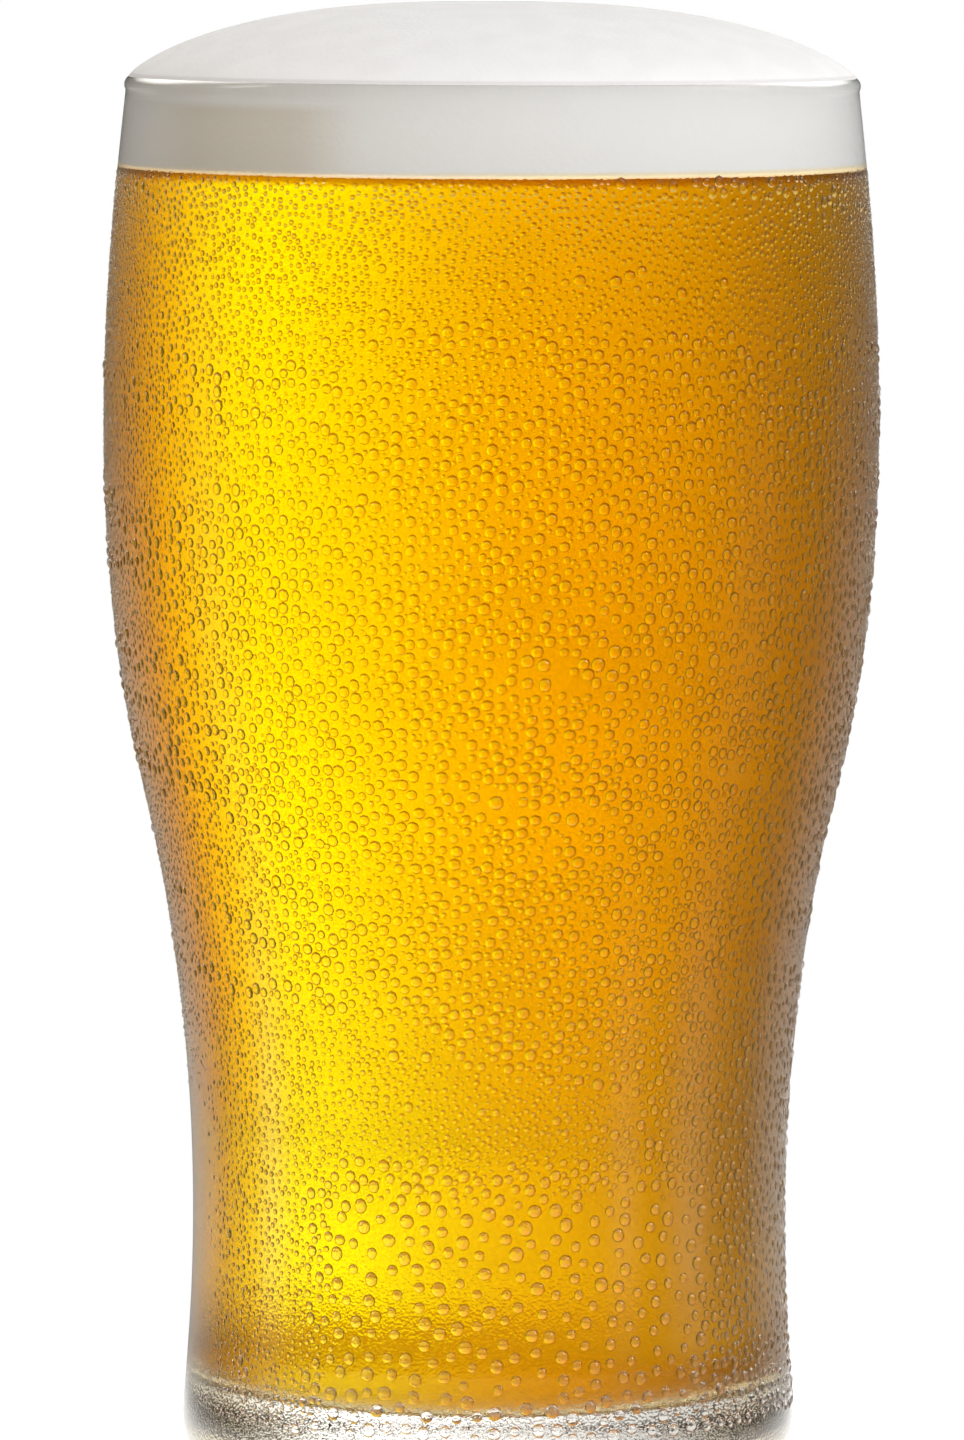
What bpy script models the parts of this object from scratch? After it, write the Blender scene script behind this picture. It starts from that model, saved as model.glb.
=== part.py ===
"""A full pint of pale beer in a tulip pint glass.

Lengths are in metres and +Z is up. The origin is the middle of the circle that the glass stands on.
The glass, the beer and the head of foam are turned shapes: each is a profile swept round the Z axis.
"""

import math

import bpy
import numpy as np

COLLECTION = "pint_of_beer"
TURNING_STEPS = 64
MERGE_DISTANCE = 0.00001

# What touches in the real drink is kept this far apart, so that no two solids share space
GAP = 0.0003

# The outside of the glass
GLASS_HEIGHT = 0.1520
FOOT_RADIUS = 0.0332
FOOT_HEIGHT = 0.0060
FOOT_ROUNDING = 0.0035
WAIST_RADIUS = 0.03203
WAIST_HEIGHT = 0.0270
SHOULDER_RADIUS = 0.04215
SHOULDER_HEIGHT = 0.1130
NECK_RADIUS = 0.03963
NECK_HEIGHT = 0.1500

# (height, radius) of the outer wall, from the foot up to the neck under the rim
WALL_STATIONS = (
    (FOOT_HEIGHT, FOOT_RADIUS),
    (0.0160, 0.03238),
    (WAIST_HEIGHT, WAIST_RADIUS),
    (0.0420, 0.03252),
    (0.0550, 0.03395),
    (0.0686, 0.03645),
    (0.0817, 0.03935),
    (0.0950, 0.04125),
    (SHOULDER_HEIGHT, SHOULDER_RADIUS),
    (0.1300, 0.04165),
    (0.1410, 0.04072),
    (NECK_HEIGHT, NECK_RADIUS),
)

# The rolled bead of the rim, whose crest is the top of the glass
BEAD_RADIUS = 0.00115
BEAD_MIDDLE = 0.03875
BEAD_END = math.radians(-40)

# The inside of the glass
WALL_AT_RIM = 0.0021
WALL_AT_BASE = 0.0027
BASE_THICKNESS = 0.0090
INNER_CORNER = 0.0050

# The underside: a flat ring to stand on, round a shallow recess
RING_INNER_RADIUS = 0.0270
RECESS_RADIUS = 0.0245
RECESS_EDGE_DEPTH = 0.0012
RECESS_DEPTH = 0.0018

# The drink: where beer meets foam, and how far the foam stands over the rim
BEER_LEVEL = 0.1419
DOME_HEIGHT = 0.0077
DOME_POWER = 2.8

# How many short straight stretches each part of a profile has
WALL_PIECES = 18
BEAD_PIECES = 9
CORNER_PIECES = 5
DOME_PIECES = 11

# name: (colour, roughness, transmission)
FINISHES = {
    "clear_glass": ((0.90, 0.93, 0.92), 0.02, 1.0),
    "golden_beer": ((0.95, 0.60, 0.02), 0.05, 0.6),
    "white_foam": ((0.92, 0.91, 0.88), 0.80, 0.0),
}


def smooth_curve(stations):
    """Returns radius as a function of height: the natural cubic spline through (height, radius) stations."""
    heights, radii = np.array(stations).T
    steps = np.diff(heights)
    slopes = np.diff(radii) / steps
    count = len(heights)
    system = np.eye(count)
    wanted = np.zeros(count)
    for i in range(1, count - 1):
        system[i, i - 1 : i + 2] = steps[i - 1], 2 * (steps[i - 1] + steps[i]), steps[i]
        wanted[i] = 6 * (slopes[i] - slopes[i - 1])
    bends = np.linalg.solve(system, wanted)

    def radius(height):
        i = int(np.clip(np.searchsorted(heights, height) - 1, 0, count - 2))
        after = (height - heights[i]) / steps[i]
        before = 1 - after
        straight = before * radii[i] + after * radii[i + 1]
        bend = (before**3 - before) * bends[i] + (after**3 - after) * bends[i + 1]
        return float(straight + bend * steps[i] ** 2 / 6)

    return radius


outer_radius = smooth_curve(WALL_STATIONS)


def inner_radius(height):
    """The radius of the hollow: the wall thins evenly from the base to the rim."""
    share = (height - BASE_THICKNESS) / (NECK_HEIGHT - BASE_THICKNESS)
    wall = WALL_AT_BASE + (WALL_AT_RIM - WALL_AT_BASE) * share
    return outer_radius(min(height, NECK_HEIGHT)) - wall


def between(start, end, pieces):
    """Evenly spaced numbers from start to end, both included."""
    return [start + (end - start) * i / pieces for i in range(pieces + 1)]


def arc(middle, radii, start, end, pieces):
    """Points of a round or elliptical stretch of profile about middle, in (radius, height)."""
    return [
        (middle[0] + radii[0] * math.cos(a), middle[1] + radii[1] * math.sin(a))
        for a in between(start, end, pieces)
    ]


def wall_points(radius_at, low, high, pieces):
    """Points of a stretch of wall, from low up to high."""
    return [(radius_at(z), z) for z in between(low, high, pieces)]


def rim_middle():
    """The middle of the bead's round section, in (radius, height)."""
    return BEAD_MIDDLE, GLASS_HEIGHT - BEAD_RADIUS


def inner_corner(clearance):
    """The rounded corner between the inner floor and the wall, drawn in by clearance."""
    top = BASE_THICKNESS + INNER_CORNER
    reach = INNER_CORNER - clearance
    middle = (inner_radius(top) - INNER_CORNER, top)
    return arc(middle, (reach, reach), -math.pi / 2, 0, CORNER_PIECES)


def glass_profile():
    """Floor of the hollow, inner wall, rim, outer wall, foot and underside."""
    corner_top = BASE_THICKNESS + INNER_CORNER
    inside = [(0, BASE_THICKNESS)] + inner_corner(0)
    inside += wall_points(inner_radius, corner_top, NECK_HEIGHT, WALL_PIECES)[1:]
    rim = arc(rim_middle(), (BEAD_RADIUS, BEAD_RADIUS), math.pi, BEAD_END, BEAD_PIECES)
    outside = wall_points(outer_radius, FOOT_HEIGHT, NECK_HEIGHT, WALL_PIECES)[::-1]
    foot_middle = (FOOT_RADIUS - FOOT_ROUNDING, FOOT_HEIGHT)
    foot = arc(foot_middle, (FOOT_ROUNDING, FOOT_HEIGHT), 0, -math.pi / 2, CORNER_PIECES)
    underside = [
        (RING_INNER_RADIUS, 0),
        (RECESS_RADIUS, RECESS_EDGE_DEPTH),
        (RECESS_RADIUS / 2, RECESS_DEPTH),
        (0, RECESS_DEPTH),
    ]
    return inside + rim + outside[1:] + foot[1:] + underside


def filling_radius(height):
    """The radius of what fills the glass, a gap inside the wall."""
    return inner_radius(height) - GAP


def beer_profile():
    """The beer: its level top, the wall and the rounded bottom, a gap inside the glass."""
    top = BEER_LEVEL - GAP / 2
    corner_top = BASE_THICKNESS + INNER_CORNER
    side = wall_points(filling_radius, corner_top, top, WALL_PIECES)[::-1]
    corner = inner_corner(GAP)[::-1]
    return [(0, top)] + side + corner[1:] + [(0, BASE_THICKNESS + GAP)]


def foam_profile():
    """The head: a dome that rests on the crest of the rim, over a plug of foam down to the beer."""
    dome_base = GLASS_HEIGHT + GAP
    shares = [math.sin(a) for a in between(0, math.pi / 2, DOME_PIECES)]
    dome = [
        (BEAD_MIDDLE * share, dome_base + DOME_HEIGHT * (1 - share**DOME_POWER))
        for share in shares
    ]
    reach = BEAD_RADIUS + GAP
    lip = arc(rim_middle(), (reach, reach), math.pi / 2, math.pi, CORNER_PIECES)
    bottom = BEER_LEVEL + GAP / 2
    plug = wall_points(filling_radius, bottom, NECK_HEIGHT, CORNER_PIECES)[::-1]
    return dome + lip[1:] + plug + [(0, bottom)]


def finish(name):
    """A material with the colour and shine that the name stands for."""
    colour, roughness, transmission = FINISHES[name]
    material = bpy.data.materials.new(name)
    material.use_nodes = True
    shader = material.node_tree.nodes["Principled BSDF"]
    shader.inputs["Base Color"].default_value = (*colour, 1)
    shader.inputs["Roughness"].default_value = roughness
    shader.inputs["Metallic"].default_value = 0
    shader.inputs["Transmission Weight"].default_value = transmission
    return material


def turned(name, profile, material, collection):
    """An object made of a profile in the XZ plane, swept once round the Z axis."""
    mesh = bpy.data.meshes.new(name)
    points = [(radius, 0, height) for radius, height in profile]
    edges = [(i, i + 1) for i in range(len(points) - 1)]
    mesh.from_pydata(points, edges, [])
    mesh.materials.append(material)
    made = bpy.data.objects.new(name, mesh)
    collection.objects.link(made)
    sweep = made.modifiers.new("turn", "SCREW")
    sweep.axis = "Z"
    sweep.angle = 2 * math.pi
    sweep.steps = TURNING_STEPS
    sweep.render_steps = TURNING_STEPS
    sweep.use_merge_vertices = True
    sweep.merge_threshold = MERGE_DISTANCE
    sweep.use_smooth_shade = True
    return made


def main():
    for old in list(bpy.data.objects):
        bpy.data.objects.remove(old, do_unlink=True)
    collection = bpy.data.collections.new(COLLECTION)
    bpy.context.scene.collection.children.link(collection)
    turned("glass", glass_profile(), finish("clear_glass"), collection)
    turned("beer", beer_profile(), finish("golden_beer"), collection)
    turned("foam_head", foam_profile(), finish("white_foam"), collection)


main()
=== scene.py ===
"""A full pint of pale beer in a tulip pint glass, beaded with condensation, on a white studio table.

Lengths are in metres and +Z is up. The glass stands on the origin, and every piece is made where it stays.
"""

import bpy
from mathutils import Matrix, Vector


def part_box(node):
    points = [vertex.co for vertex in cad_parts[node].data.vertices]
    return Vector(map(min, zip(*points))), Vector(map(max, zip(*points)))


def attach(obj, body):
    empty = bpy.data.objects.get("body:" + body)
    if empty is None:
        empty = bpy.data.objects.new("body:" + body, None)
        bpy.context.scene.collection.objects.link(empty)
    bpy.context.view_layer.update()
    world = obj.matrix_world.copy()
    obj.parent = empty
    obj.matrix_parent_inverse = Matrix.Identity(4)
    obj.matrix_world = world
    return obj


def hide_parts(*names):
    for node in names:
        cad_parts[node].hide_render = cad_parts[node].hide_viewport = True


bl_info = {
    "name": "Pint of Beer",
    "version": (1, 0, 0),
    "blender": (4, 5, 0),
    "location": "View3D > Sidebar > Pint",
    "description": "Makes a tulip pint glass of beer with a head of foam and beads of condensation",
    "category": "Add Mesh",
}

import math

import bmesh
import bpy
import numpy as np
from bpy.props import FloatProperty, FloatVectorProperty, IntProperty, PointerProperty
from mathutils import Matrix

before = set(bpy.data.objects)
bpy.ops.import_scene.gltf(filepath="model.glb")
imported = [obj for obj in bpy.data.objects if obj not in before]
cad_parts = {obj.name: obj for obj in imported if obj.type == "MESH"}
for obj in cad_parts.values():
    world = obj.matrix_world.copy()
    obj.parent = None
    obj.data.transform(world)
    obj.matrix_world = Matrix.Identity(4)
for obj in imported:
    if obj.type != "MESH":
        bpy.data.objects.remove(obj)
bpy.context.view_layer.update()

BODY = "root"
GLASS_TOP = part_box("glass")[1].z
FOAM_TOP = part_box("foam_head")[1].z
BEER_TOP = (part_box("beer")[1].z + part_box("foam_head")[0].z) / 2

# (height, radius) of the outer wall of the glass, from the foot up to the neck under the rim
WALL_STATIONS = (
    (0.0060, 0.03350),
    (0.0160, 0.03270),
    (0.0270, 0.03235),
    (0.0420, 0.03283),
    (0.0550, 0.03415),
    (0.0686, 0.03645),
    (0.0817, 0.03935),
    (0.0950, 0.04125),
    (0.1130, 0.04215),
    (0.1300, 0.04165),
    (0.1410, 0.04078),
    (0.1500, 0.03985),
)
FOOT_HEIGHT, FOOT_RADIUS = WALL_STATIONS[0]
NECK_HEIGHT = WALL_STATIONS[-1][0]
RIM_FOOT = 0.1495

# Heights between which the deep amber under the beer fades out, and the paler amber of its lowest part
AMBER_FADE = (0.0095, 0.0128)
LOW_BEER_FADE = (0.0135, 0.0183)
# Heights between which the wet film on the lower wall fades out
FILM_FADE = (0.030, 0.075)
# Heights between which the painted shade on the left of the foam in the glass ends, and the places along X
# where it begins and ends
PAINTED_SHADE_TOP = (0.1485, 0.1498)
PAINTED_SHADE_LEFT = (-0.0375, -0.0300)
PAINTED_SHADE_RIGHT = (-0.0215, -0.0120)
# The places along X between which the cream colour over the beer gets its full strength
CREAM_FADE = (-0.020, 0.012)
# Heights between which the foam goes from its colour in the glass to that of the dome
DOME_FADE = (GLASS_TOP - 0.0008, GLASS_TOP)
# Heights between which the cream colour over the beer, and the painted glow that the foam gives off just
# over the beer, fade out
CREAM_TOP = (BEER_TOP + 0.0004, BEER_TOP + 0.0008)
PAINTED_GLOW_TOP = (BEER_TOP + 0.0001, BEER_TOP + 0.0004)
# Distances in height from the top of the rim between which the painted shade in the crease of the foam
# fades out
CREASE_SHADE_FADE = (0.00005, 0.00035)

# How many short straight stretches each part of a profile has
WALL_PIECES = 90
OUTSIDE_PIECES = 96
RIM_PIECES = 24
CORNER_PIECES = 12
EDGE_PIECES = 14
DOME_PIECES = 60
PLUG_PIECES = 24

# Where the rolled rim ends on the outside, and where the dome of foam starts on it
RIM_END = math.radians(-30)
DOME_START = math.radians(50)
# Radii of extra rings in the flat floor of the hollow and in the level top of the beer
FLOOR_RING = 0.015
LEVEL_RING = 0.020
# How far outside the inner wall a face may be and still belong to it
INNER_WALL_REACH = 0.0008
MERGE_DISTANCE = 0.000005

# The size of the fine bubbles of the foam
BUBBLE_SIZE = 0.0006

# How strongly each clear thing bends light
GLASS_IOR = 1.52
BEER_IOR = 1.345
WATER_IOR = 1.33
WHITE = (1, 1, 1, 1)
BLACK = (0, 0, 0, 1)


def number(name, description, default, **options):
    """A setting that is a number."""
    return FloatProperty(name=name, description=description, default=default, **options)


def length(name, description, default):
    """A setting that is a length in metres."""
    return number(name, description, default, unit="LENGTH")


class GlassSettings(bpy.types.PropertyGroup):
    """Sizes of the glass."""

    wall_at_rim: length("Wall at Rim", "Thickness of the glass just under the rim", 0.0021)
    wall_at_base: length(
        "Wall at Base", "Thickness of the glass where the wall meets the base", 0.0027
    )
    base_thickness: length("Base Thickness", "Height of the clear base under the beer", 0.0090)
    inner_corner: length(
        "Inner Corner", "Rounding between the floor of the hollow and its wall", 0.0050
    )
    rim_radius: length("Rim Bead", "Radius of the rolled bead along the rim", 0.00108)
    rim_middle: length(
        "Rim Middle", "Distance from the axis to the middle of the rolled bead", 0.03888
    )
    foot_rounding: length(
        "Foot Rounding", "How far the rounded lower edge of the foot reaches in", 0.0035
    )
    recess_radius: length("Recess Radius", "Radius of the shallow recess in the underside", 0.0245)
    recess_depth: length("Recess Depth", "Depth of the recess in the underside", 0.0018)
    turning_steps: IntProperty(
        name="Turning Steps",
        description="How many steps the profile takes round the axis",
        default=256,
        min=32,
    )


class DrinkSettings(bpy.types.PropertyGroup):
    """Colour of the beer and shape of its foam."""

    beer_tint: FloatVectorProperty(
        name="Beer Tint",
        description="Colour that light keeps on its way through the beer",
        subtype="COLOR",
        default=(1.0, 0.955, 0.03),
        min=0,
        max=1,
    )
    beer_depth: number("Beer Depth", "How fast the beer takes up light, per metre", 110.0)
    foam_colour: FloatVectorProperty(
        name="Foam Colour",
        description="Colour of the foam",
        subtype="COLOR",
        default=(0.66, 0.658, 0.66),
        min=0,
        max=1,
    )
    dome_flatness: number("Dome Flatness", "How flat the dome of foam is in its middle", 2.55)
    dome_steepness: number(
        "Dome Steepness", "How slowly the dome rises from the rim: the smaller, the steeper", 0.74
    )
    overlap: length(
        "Overlap", "How far the drink reaches into the glass, so that no air shows between them", 0.00005
    )


class CondensationSettings(bpy.types.PropertyGroup):
    """Sizes of the water beads on the outside of the glass."""

    rise: number("Rise", "How high the beads stand, as a share of their usual height", 1.0)
    seed: IntProperty(
        name="Seed",
        description="Number that the places of the beads are drawn from",
        default=7,
    )


class StudioSettings(bpy.types.PropertyGroup):
    """Places of the camera and strength of the light."""

    camera_distance: length(
        "Camera Distance", "Distance from the camera to the axis of the glass", 1.15
    )
    camera_height: length("Camera Height", "Height of the camera over the table", 0.177)
    camera_tilt: number(
        "Camera Tilt", "Angle by which the camera looks down", math.radians(4.735), subtype="ANGLE"
    )
    lens: number("Lens", "Focal length of the camera, in millimetres", 264.44)
    light_strength: number("Light Strength", "Brightness of the soft light round the glass", 1.0)


def smooth_curve(stations):
    """Returns radius as a function of height: the natural cubic spline through the stations."""
    heights, radii = np.array(stations).T
    steps = np.diff(heights)
    slopes = np.diff(radii) / steps
    count = len(heights)
    system = np.eye(count)
    wanted = np.zeros(count)
    for i in range(1, count - 1):
        system[i, i - 1 : i + 2] = steps[i - 1], 2 * (steps[i - 1] + steps[i]), steps[i]
        wanted[i] = 6 * (slopes[i] - slopes[i - 1])
    bends = np.linalg.solve(system, wanted)

    def radius(height):
        i = int(np.clip(np.searchsorted(heights, height) - 1, 0, count - 2))
        after = (height - heights[i]) / steps[i]
        before = 1 - after
        straight = before * radii[i] + after * radii[i + 1]
        bend = (before**3 - before) * bends[i] + (after**3 - after) * bends[i + 1]
        return float(straight + bend * steps[i] ** 2 / 6)

    return radius


outer_radius = smooth_curve(WALL_STATIONS)


def inner_radius(sizes, height):
    """The radius of the hollow: the wall thins evenly from the base to the rim."""
    share = (height - sizes.base_thickness) / (NECK_HEIGHT - sizes.base_thickness)
    wall = sizes.wall_at_base + (sizes.wall_at_rim - sizes.wall_at_base) * share
    return outer_radius(min(height, NECK_HEIGHT)) - wall


def between(start, end, pieces):
    """Evenly spaced numbers from start to end, both included."""
    return [start + (end - start) * i / pieces for i in range(pieces + 1)]


def arc(middle, radii, start, end, pieces):
    """Points of a round or elliptical stretch of profile about middle, in (radius, height)."""
    return [
        (middle[0] + radii[0] * math.cos(a), middle[1] + radii[1] * math.sin(a))
        for a in between(start, end, pieces)
    ]


def inner_corner(sizes, growth):
    """The rounded corner between the inner floor and the wall, moved out by growth."""
    top = sizes.base_thickness + sizes.inner_corner
    reach = sizes.inner_corner + growth
    middle = (inner_radius(sizes, top) - sizes.inner_corner, top)
    return arc(middle, (reach, reach), -math.pi / 2, 0, CORNER_PIECES)


def inner_wall(sizes, start, end, pieces, growth=0):
    """Points of the wall of the hollow between two heights, moved out by growth."""
    return [(inner_radius(sizes, z) + growth, z) for z in between(start, end, pieces)]


def glass_profile(sizes):
    """Floor of the hollow, inner wall, rim, outer wall, foot and underside."""
    corner_top = sizes.base_thickness + sizes.inner_corner
    floor = sizes.base_thickness
    inside = [(0, floor), (FLOOR_RING, floor)] + inner_corner(sizes, 0)
    inside += inner_wall(sizes, corner_top, NECK_HEIGHT, WALL_PIECES)[1:]
    middle = (sizes.rim_middle, GLASS_TOP - sizes.rim_radius)
    rim = arc(middle, (sizes.rim_radius, sizes.rim_radius), math.pi, RIM_END, RIM_PIECES)
    outside = [(outer_radius(z), z) for z in between(RIM_FOOT, FOOT_HEIGHT, OUTSIDE_PIECES)]
    foot_middle = (FOOT_RADIUS - sizes.foot_rounding, FOOT_HEIGHT)
    foot = arc(foot_middle, (sizes.foot_rounding, FOOT_HEIGHT), 0, -math.pi / 2, EDGE_PIECES)
    ring_inside = sizes.recess_radius + 0.0025
    lip = sizes.recess_depth * 2 / 3
    underside = [
        (ring_inside, 0),
        (ring_inside - 0.0006, lip * 0.15),
        (sizes.recess_radius + 0.0008, lip * 0.85),
        (sizes.recess_radius, lip),
        (sizes.recess_radius / 2, sizes.recess_depth),
        (0, sizes.recess_depth),
    ]
    return inside + rim + outside + foot[1:] + underside


def beer_profile(sizes, overlap):
    """The beer: its level top, the wall and the rounded bottom, each reaching just into the glass."""
    corner_top = sizes.base_thickness + sizes.inner_corner
    side = inner_wall(sizes, BEER_TOP, corner_top, WALL_PIECES, overlap)
    corner = inner_corner(sizes, overlap)[::-1]
    bottom = sizes.base_thickness - overlap
    level = [(0, BEER_TOP), (LEVEL_RING, BEER_TOP)]
    return level + side + corner[1:] + [(FLOOR_RING, bottom), (0, bottom)]


def foam_profile(sizes, drink):
    """The head: a dome that rests on the crest of the rim, over a plug of foam down to the beer."""
    overlap = drink.overlap
    middle = (sizes.rim_middle, GLASS_TOP - sizes.rim_radius)
    reach = sizes.rim_radius - overlap
    lip = arc(middle, (reach, reach), DOME_START, math.pi, EDGE_PIECES)
    edge, low = lip[0]
    rise = FOAM_TOP - low
    shares = [math.sin(a) for a in between(0, math.pi / 2, DOME_PIECES)]
    dome = [
        (
            edge * share,
            low + rise * max(1 - share**drink.dome_flatness, 0) ** drink.dome_steepness,
        )
        for share in shares
    ]
    bottom = BEER_TOP - overlap
    plug = inner_wall(sizes, NECK_HEIGHT, bottom, PLUG_PIECES, overlap)
    return dome + lip[1:] + plug + [(LEVEL_RING, bottom), (0, bottom)]


def feed(tree, node, values):
    """Feeds the inputs of a node with values or with other nodes' outputs."""
    for key, value in values.items():
        if isinstance(value, bpy.types.NodeSocket):
            tree.links.new(value, node.inputs[key])
        else:
            node.inputs[key].default_value = value


def add(tree, kind, inputs=None, **settings):
    """Adds a node with these settings and these inputs."""
    node = tree.nodes.new(kind)
    for name, value in settings.items():
        setattr(node, name, value)
    feed(tree, node, inputs or {})
    return node


def calculate(tree, operation, *values, clamp=False):
    """The output of a Math node that works on these values."""
    inputs = dict(enumerate(values))
    return add(tree, "ShaderNodeMath", inputs, operation=operation, use_clamp=clamp).outputs[0]


def remap(tree, value, low, high, new_low=0.0, new_high=1.0):
    """The output of a smooth Map Range node from low..high to new_low..new_high."""
    inputs = {0: value, 1: low, 2: high, 3: new_low, 4: new_high}
    node = add(tree, "ShaderNodeMapRange", inputs, interpolation_type="SMOOTHSTEP")
    return node.outputs[0]


def mix_colours(tree, share, first, second):
    """The output of a colour Mix node that goes from first to second."""
    inputs = {0: share, 6: first, 7: second}
    return add(tree, "ShaderNodeMix", inputs, data_type="RGBA").outputs[2]


def new_tree(name, kind, inputs, outputs):
    """A node group with these (name, kind) sockets, and the outputs of its input node."""
    tree = bpy.data.node_groups.new(name, kind)
    for way, sockets in (("INPUT", inputs), ("OUTPUT", outputs)):
        for label, socket in sockets:
            tree.interface.new_socket(label, in_out=way, socket_type="NodeSocket" + socket)
    return tree, add(tree, "NodeGroupInput").outputs


def apply_tree(name, mesh, tree, values):
    """Runs a Geometry Nodes tree on a mesh, and returns its result as a plain mesh object."""
    source = bpy.data.objects.new(name + "_source", mesh)
    bpy.context.scene.collection.objects.link(source)
    modifier = source.modifiers.new("shape", "NODES")
    modifier.node_group = tree
    for item in tree.interface.items_tree:
        if item.item_type == "SOCKET" and item.in_out == "INPUT" and item.name in values:
            modifier[item.identifier] = values[item.name]
    graph = bpy.context.evaluated_depsgraph_get()
    made = bpy.data.meshes.new_from_object(source.evaluated_get(graph))
    made.name = name
    source.modifiers.remove(modifier)
    bpy.data.objects.remove(source)
    bpy.data.meshes.remove(mesh)
    if not made.polygons:
        raise RuntimeError(f"the piece {name} came out empty")
    piece = bpy.data.objects.new(name, made)
    bpy.context.scene.collection.objects.link(piece)
    return piece


def finished(tree, geometry, material):
    """The output of the last nodes of a tree: real geometry with its material."""
    real = add(tree, "GeometryNodeRealizeInstances", {"Geometry": geometry}).outputs[0]
    inputs = {"Geometry": real, "Material": material}
    return add(tree, "GeometryNodeSetMaterial", inputs).outputs[0]


def turning_tree():
    """A tree that sweeps a profile once round the Z axis and closes its seam and poles."""
    if "turned shape" in bpy.data.node_groups:
        return bpy.data.node_groups["turned shape"]
    tree, given = new_tree(
        "turned shape",
        "GeometryNodeTree",
        (
            ("Profile", "Geometry"),
            ("Points", "Int"),
            ("Steps", "Int"),
            ("Merge Distance", "Float"),
            ("Material", "Material"),
        ),
        (("Shape", "Geometry"),),
    )
    columns = calculate(tree, "ADD", given["Steps"], 1)
    counts = {"Vertices X": columns, "Vertices Y": given["Points"]}
    grid = add(tree, "GeometryNodeMeshGrid", counts)
    index = add(tree, "GeometryNodeInputIndex").outputs[0]
    along = calculate(tree, "MODULO", index, given["Points"])
    step = calculate(tree, "FLOOR", calculate(tree, "DIVIDE", index, given["Points"]))
    share = calculate(tree, "DIVIDE", step, given["Steps"])
    angle = calculate(tree, "MULTIPLY", share, 2 * math.pi)
    position = add(tree, "GeometryNodeInputPosition").outputs[0]
    sample = add(
        tree,
        "GeometryNodeSampleIndex",
        {"Geometry": given["Profile"], "Value": position, "Index": along},
        data_type="FLOAT_VECTOR",
        domain="POINT",
    )
    turned = add(
        tree,
        "ShaderNodeVectorRotate",
        {"Vector": sample.outputs["Value"], "Angle": angle},
        rotation_type="Z_AXIS",
    )
    places = {"Geometry": grid.outputs["Mesh"], "Position": turned.outputs[0]}
    placed = add(tree, "GeometryNodeSetPosition", places)
    doubles = {"Geometry": placed.outputs[0], "Distance": given["Merge Distance"]}
    closed = add(tree, "GeometryNodeMergeByDistance", doubles)
    outward = add(tree, "GeometryNodeFlipFaces", {"Mesh": closed.outputs[0]})
    smooth = add(tree, "GeometryNodeSetShadeSmooth", {"Geometry": outward.outputs[0]})
    shape = finished(tree, smooth.outputs[0], given["Material"])
    add(tree, "NodeGroupOutput", {"Shape": shape})
    return tree


def turned_piece(name, profile, steps, material):
    """A closed piece made of a profile that is swept round the Z axis."""
    mesh = bpy.data.meshes.new(name + "_profile")
    mesh.from_pydata([(radius, 0, height) for radius, height in profile], [], [])
    values = {
        "Points": len(profile),
        "Steps": steps,
        "Merge Distance": MERGE_DISTANCE,
        "Material": material,
    }
    return apply_tree(name, mesh, turning_tree(), values)


def hand_over(piece, slot, *nodes):
    """Gives a finished piece its body and hides the CAD nodes that it stands for."""
    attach(piece, BODY)
    if nodes:
        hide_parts(*nodes)


def new_material(name):
    """A material, its node tree and its Principled shader."""
    material = bpy.data.materials.new(name)
    material.use_nodes = True
    tree = material.node_tree
    return material, tree, tree.nodes["Principled BSDF"]


def clear_material(name, ior, mirror=0.0):
    """A material that lets all light through; mirror says how much of its shine it keeps."""
    material, tree, shader = new_material(name)
    values = {
        "Transmission Weight": 1,
        "IOR": ior,
        "Roughness": 0,
        "Specular Tint": (mirror, mirror, mirror, 1),
    }
    feed(tree, shader, values)
    return material, tree, shader


def object_place(tree):
    """The X, Y and Z outputs of the place on the object."""
    place = add(tree, "ShaderNodeTexCoord").outputs["Object"]
    return add(tree, "ShaderNodeSeparateXYZ", {0: place}).outputs


def scaled(tree, vector, factor):
    """The output of a node that makes a vector or colour this many times as large."""
    inputs = {0: vector, "Scale": factor}
    return add(tree, "ShaderNodeVectorMath", inputs, operation="SCALE").outputs[0]


def multiplied(tree, first, second):
    """The output of a node that multiplies two vectors or colours, part by part."""
    inputs = {0: first, 1: second}
    return add(tree, "ShaderNodeVectorMath", inputs, operation="MULTIPLY").outputs[0]


def fine_grain_group():
    """A shader group that gives an even, fine mottling over the surface, from 0 to 1."""
    if "fine mottling" in bpy.data.node_groups:
        return bpy.data.node_groups["fine mottling"]
    tree, given = new_tree(
        "fine mottling",
        "ShaderNodeTree",
        (("Grain Size", "Float"), ("Low", "Float"), ("High", "Float")),
        (("Mottling", "Float"),),
    )
    place = add(tree, "ShaderNodeTexCoord").outputs["Object"]
    scale = calculate(tree, "DIVIDE", 1.0, given["Grain Size"])
    inputs = {"Vector": place, "Scale": scale, "Detail": 0.0}
    noise = add(tree, "ShaderNodeTexNoise", inputs).outputs["Fac"]
    spread = remap(tree, noise, 0.3, 0.7, given["Low"], given["High"])
    add(tree, "NodeGroupOutput", {"Mottling": spread})
    return tree


def mottling(tree, grain_size, low=0.0, high=1.0):
    """The fine mottling group, placed in a material with its own grain size and range."""
    node = add(tree, "ShaderNodeGroup", node_tree=fine_grain_group())
    feed(tree, node, {"Grain Size": grain_size, "Low": low, "High": high})
    return node.outputs["Mottling"]


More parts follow.
